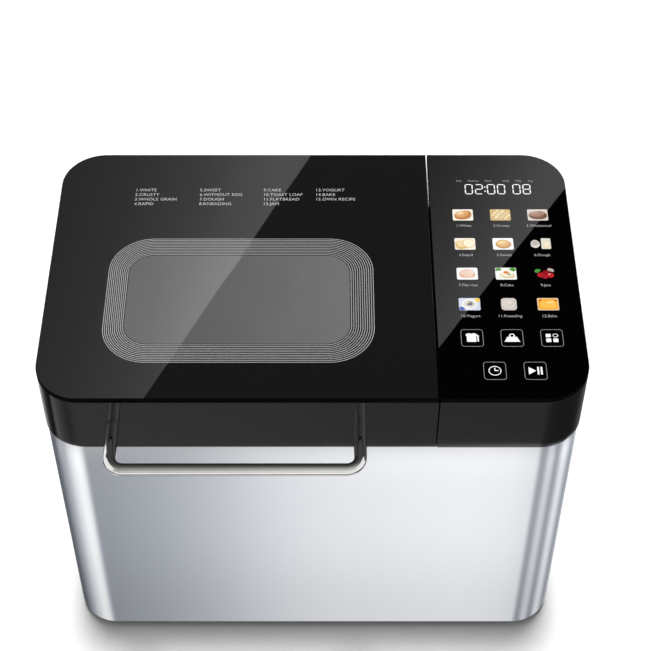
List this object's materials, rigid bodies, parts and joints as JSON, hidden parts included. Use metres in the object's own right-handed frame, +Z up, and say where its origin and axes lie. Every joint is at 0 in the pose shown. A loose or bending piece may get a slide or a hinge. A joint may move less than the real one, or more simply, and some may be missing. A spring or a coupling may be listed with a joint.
{
  "type": "bread machine",
  "caption": "Counter-top bread machine with a brushed steel body, hinged black lid with a window, touch control head, lift-out pan and a belt-driven kneading paddle.",
  "frame": {"origin": "on the table, under the middle of the whole object's box, handle and hinges included", "axes": "+Z up, +X to the user's right along the machine's width, front with the handle towards -Y"},
  "size_m": [0.37, 0.2802, 0.288],
  "materials": {
    "black_plastic": "fine moulded texture",
    "band_plastic": "high gloss black",
    "rubber": "matt",
    "brushed_steel": "fine horizontal brushing",
    "zinc_screws": "zinc plated",
    "black_glass": "back-printed black glass, polished",
    "green_board": "solder mask",
    "display_plastic": "white light guide",
    "spring_brass": "plain",
    "component_plastic": "moulded",
    "galvanised_steel": "bright plated sheet",
    "heater_sheath": "oxidised sheath",
    "lead_sleeve": "glass-fibre sleeve",
    "stainless_small": "turned and polished",
    "cast_aluminium": "die cast",
    "bronze_bush": "sintered bronze",
    "belt_rubber": "moulded",
    "motor_laminations": "stacked sheet",
    "hinge_steel": "black oxide",
    "bezel_grey": "satin grey with fine steps",
    "silicone_seal": "silicone",
    "window_glass": "clear, heat resistant",
    "chrome": "mirror polished",
    "nonstick": "non-stick coating with fine fleck",
    "white_plastic": "moulded"
  },
  "bodies": {
    "housing": {"base_tray": "black_plastic", "foot_front_left": "rubber", "foot_front_right": "rubber", "foot_rear_left": "rubber", "foot_rear_right": "rubber", "steel_wrap": "brushed_steel", "rear_cover": "black_plastic", "rear_cover_screws": "zinc_screws", "cord_gland": "rubber", "deck_frame": "black_plastic", "control_housing": "band_plastic", "control_glass": "black_glass", "display_board": "green_board", "display_module": "display_plastic", "touch_springs": "spring_brass", "power_board": "green_board", "power_components": "component_plastic", "heat_shield": "galvanised_steel", "chamber_liner": "galvanised_steel", "heater_element": "heater_sheath", "heater_brackets": "galvanised_steel", "heater_leads": "lead_sleeve", "temperature_sensor": "stainless_small", "pan_seat": "galvanised_steel", "pan_clips": "stainless_small", "chassis_plate": "galvanised_steel", "chassis_screws": "zinc_screws", "bearing_housing": "cast_aluminium", "shaft_bushes": "bronze_bush", "drive_belt": "belt_rubber", "motor_stator": "motor_laminations", "motor_end_bells": "cast_aluminium", "hinge_brackets": "hinge_steel", "hinge_pins": "stainless_small"},
    "lid": {"lid_shell": "band_plastic", "lid_glass": "black_glass", "window_bezel": "bezel_grey", "window_gasket": "silicone_seal", "window_pane": "window_glass", "lid_liner": "galvanised_steel", "lid_liner_screws": "zinc_screws", "hinge_leaves": "hinge_steel", "front_handle": "chrome", "handle_screws": "zinc_screws"},
    "pan": {"bread_pan": "nonstick", "pan_foot_ring": "cast_aluminium", "pan_bush": "bronze_bush", "shaft_seal": "silicone_seal", "bail_ears": "stainless_small"},
    "bail": {"bail_handle": "stainless_small"},
    "pan_shaft": {"pan_shaft": "stainless_small", "wing_coupling": "stainless_small"},
    "paddle": {"kneading_paddle": "nonstick"},
    "drive": {"drive_shaft": "stainless_small", "drive_coupling": "stainless_small", "drive_pulley": "white_plastic"},
    "motor": {"motor_rotor": "motor_laminations", "motor_pulley": "white_plastic", "motor_fan": "white_plastic"}
  },
  "joints": [
    {"name": "lid_hinge", "type": "hinge", "parent": "housing", "child": "lid", "pos_m": [-0.05075, 0.13515, 0.243], "axis": [-1, 0, 0], "range_deg": [0, 95]},
    {"name": "pan_lift", "type": "slide", "parent": "housing", "child": "pan", "axis": [0, 0, 1], "range_m": [0, 0.012]},
    {"name": "bail_swing", "type": "hinge", "parent": "pan", "child": "bail", "pos_m": [-0.05075, 0.01365, 0.208], "axis": [1, 0, 0], "range_deg": [0, 30]},
    {"name": "shaft_spin", "type": "hinge", "parent": "pan", "child": "pan_shaft", "pos_m": [-0.05075, 0.01365, 0.084], "axis": [0, 0, 1], "continuous": true},
    {"name": "paddle_lift", "type": "slide", "parent": "pan_shaft", "child": "paddle", "axis": [0, 0, 1], "range_m": [0, 0.04]},
    {"name": "drive_spin", "type": "hinge", "parent": "housing", "child": "drive", "pos_m": [-0.05075, 0.01365, 0.06], "axis": [0, 0, 1], "continuous": true},
    {"name": "motor_spin", "type": "hinge", "parent": "housing", "child": "motor", "pos_m": [0.12125, 0.01365, 0.08], "axis": [0, 0, 1], "continuous": true}
  ],
  "couplings": [
    {"joint": "shaft_spin", "follows": "drive_spin", "ratio": 1},
    {"joint": "motor_spin", "follows": "drive_spin", "ratio": 5}
  ]
}
